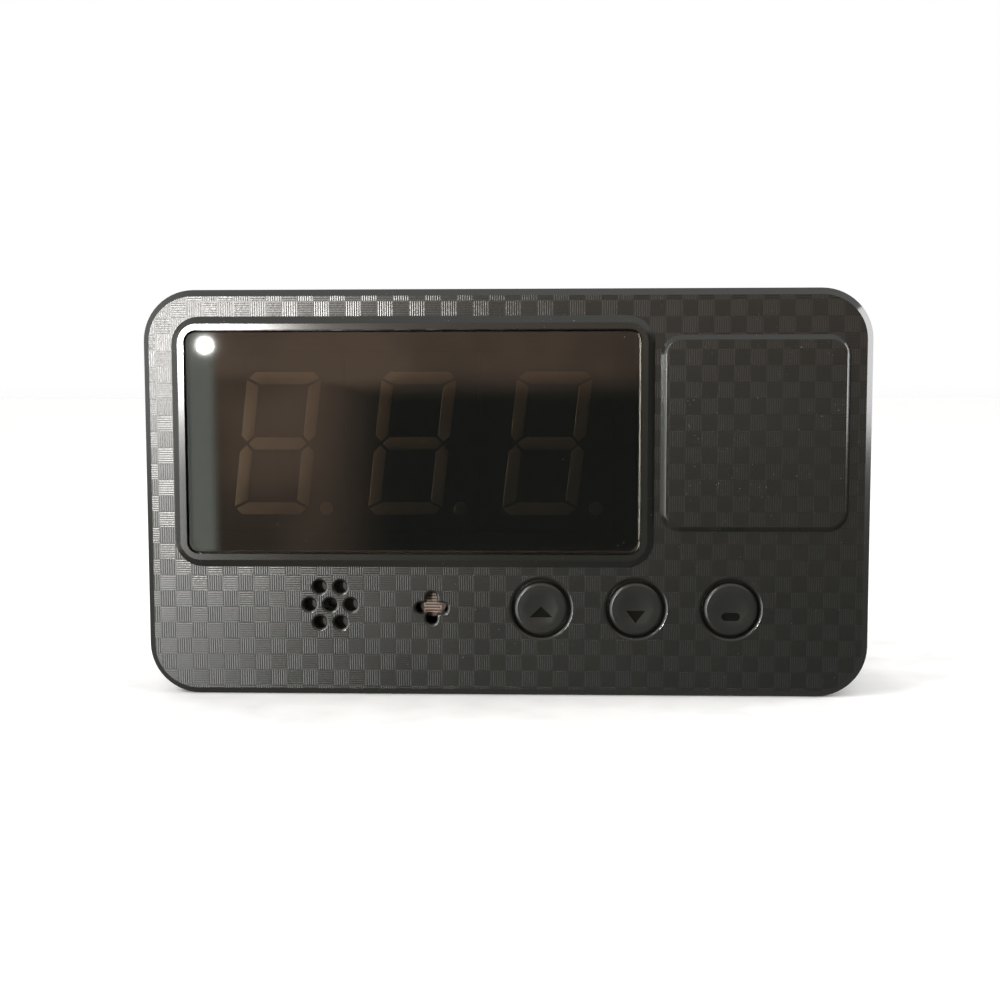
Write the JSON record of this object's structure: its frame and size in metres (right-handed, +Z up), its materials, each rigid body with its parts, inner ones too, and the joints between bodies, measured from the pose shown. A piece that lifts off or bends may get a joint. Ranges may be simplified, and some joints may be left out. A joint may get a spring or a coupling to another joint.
{
  "type": "taxi meter",
  "caption": "Slim dashboard taxi meter with a smoked seven-segment display, round press keys, a sound grille, a light sensor opening and a rear socket.",
  "frame": {"origin": "middle of the base that the meter stands on, halfway between the front of the display frame and the back of the rear cover", "axes": "+X to the right as the display is read, +Y from the display to the rear cover, +Z up"},
  "size_m": [0.128, 0.027, 0.072],
  "materials": {
    "black_case": "fine square weave on the face, smooth satin border",
    "black_cover": "fine moulded grain",
    "smoked_lens": "polished smoked acrylic",
    "black_foam": "dull adhesive tape",
    "digit_black": "printed black face",
    "led_resin": "unlit tinted resin",
    "black_key": "satin moulded",
    "switch_black": "moulded",
    "switch_steel": "stamped",
    "tinned_metal": "bright tin plating",
    "green_laminate": "green solder mask",
    "chip_epoxy": "moulded epoxy",
    "ferrite": "dull ferrite",
    "can_aluminium": "satin can",
    "base_black": "moulded",
    "crystal_can": "pressed can",
    "resistor_ceramic": "printed ceramic",
    "capacitor_ceramic": "fired ceramic",
    "buzzer_black": "moulded",
    "copper_wire": "enamelled winding",
    "diaphragm_steel": "thin sheet",
    "sensor_ceramic": "dark red-brown face",
    "sensor_track": "tan printed track",
    "socket_white": "natural nylon",
    "screw_steel": "black oxide",
    "insert_brass": "turned",
    "label_paper": "blank satin label"
  },
  "bodies": {
    "case": {"board_screws": "screw_steel", "buzzer_base": "buzzer_black", "buzzer_coil": "copper_wire", "buzzer_diaphragm": "diaphragm_steel", "buzzer_pins": "tinned_metal", "buzzer_shell": "buzzer_black", "capacitor_bases": "base_black", "case_screws": "screw_steel", "chip_capacitors": "capacitor_ceramic", "chip_resistors": "resistor_ceramic", "circuit_board": "green_laminate", "clock_crystal": "crystal_can", "controller_chip": "chip_epoxy", "controller_legs": "tinned_metal", "digit_left_housing": "digit_black", "digit_left_pins": "tinned_metal", "digit_left_segments": "led_resin", "digit_middle_housing": "digit_black", "digit_middle_pins": "tinned_metal", "digit_middle_segments": "led_resin", "digit_right_housing": "digit_black", "digit_right_pins": "tinned_metal", "digit_right_segments": "led_resin", "display_lens": "smoked_lens", "driver_chip": "chip_epoxy", "driver_legs": "tinned_metal", "filter_capacitors": "can_aluminium", "front_case": "black_case", "lens_tape": "black_foam", "light_sensor_disc": "sensor_ceramic", "light_sensor_leads": "tinned_metal", "light_sensor_track": "sensor_track", "mount_inserts": "insert_brass", "power_coil": "ferrite", "protection_diode": "chip_epoxy", "rating_label": "label_paper", "rear_cover": "black_cover", "regulator_body": "chip_epoxy", "regulator_leads": "tinned_metal", "socket_pins": "tinned_metal", "socket_shell": "socket_white", "switch_down_base": "switch_black", "switch_down_cover": "switch_steel", "switch_down_dome": "switch_steel", "switch_down_legs": "tinned_metal", "switch_set_base": "switch_black", "switch_set_cover": "switch_steel", "switch_set_dome": "switch_steel", "switch_set_legs": "tinned_metal", "switch_up_base": "switch_black", "switch_up_cover": "switch_steel", "switch_up_dome": "switch_steel", "switch_up_legs": "tinned_metal"},
    "up_key": {"key_up_cap": "black_key", "switch_up_plunger": "switch_black"},
    "down_key": {"key_down_cap": "black_key", "switch_down_plunger": "switch_black"},
    "set_key": {"key_set_cap": "black_key", "switch_set_plunger": "switch_black"}
  },
  "joints": [
    {"name": "up_key_press", "type": "slide", "parent": "case", "child": "up_key", "axis": [0, 1, 0], "range_m": [0, 0.0003], "stiffness_N_per_m": 300},
    {"name": "down_key_press", "type": "slide", "parent": "case", "child": "down_key", "axis": [0, 1, 0], "range_m": [0, 0.0003], "stiffness_N_per_m": 300},
    {"name": "set_key_press", "type": "slide", "parent": "case", "child": "set_key", "axis": [0, 1, 0], "range_m": [0, 0.0003], "stiffness_N_per_m": 300}
  ]
}
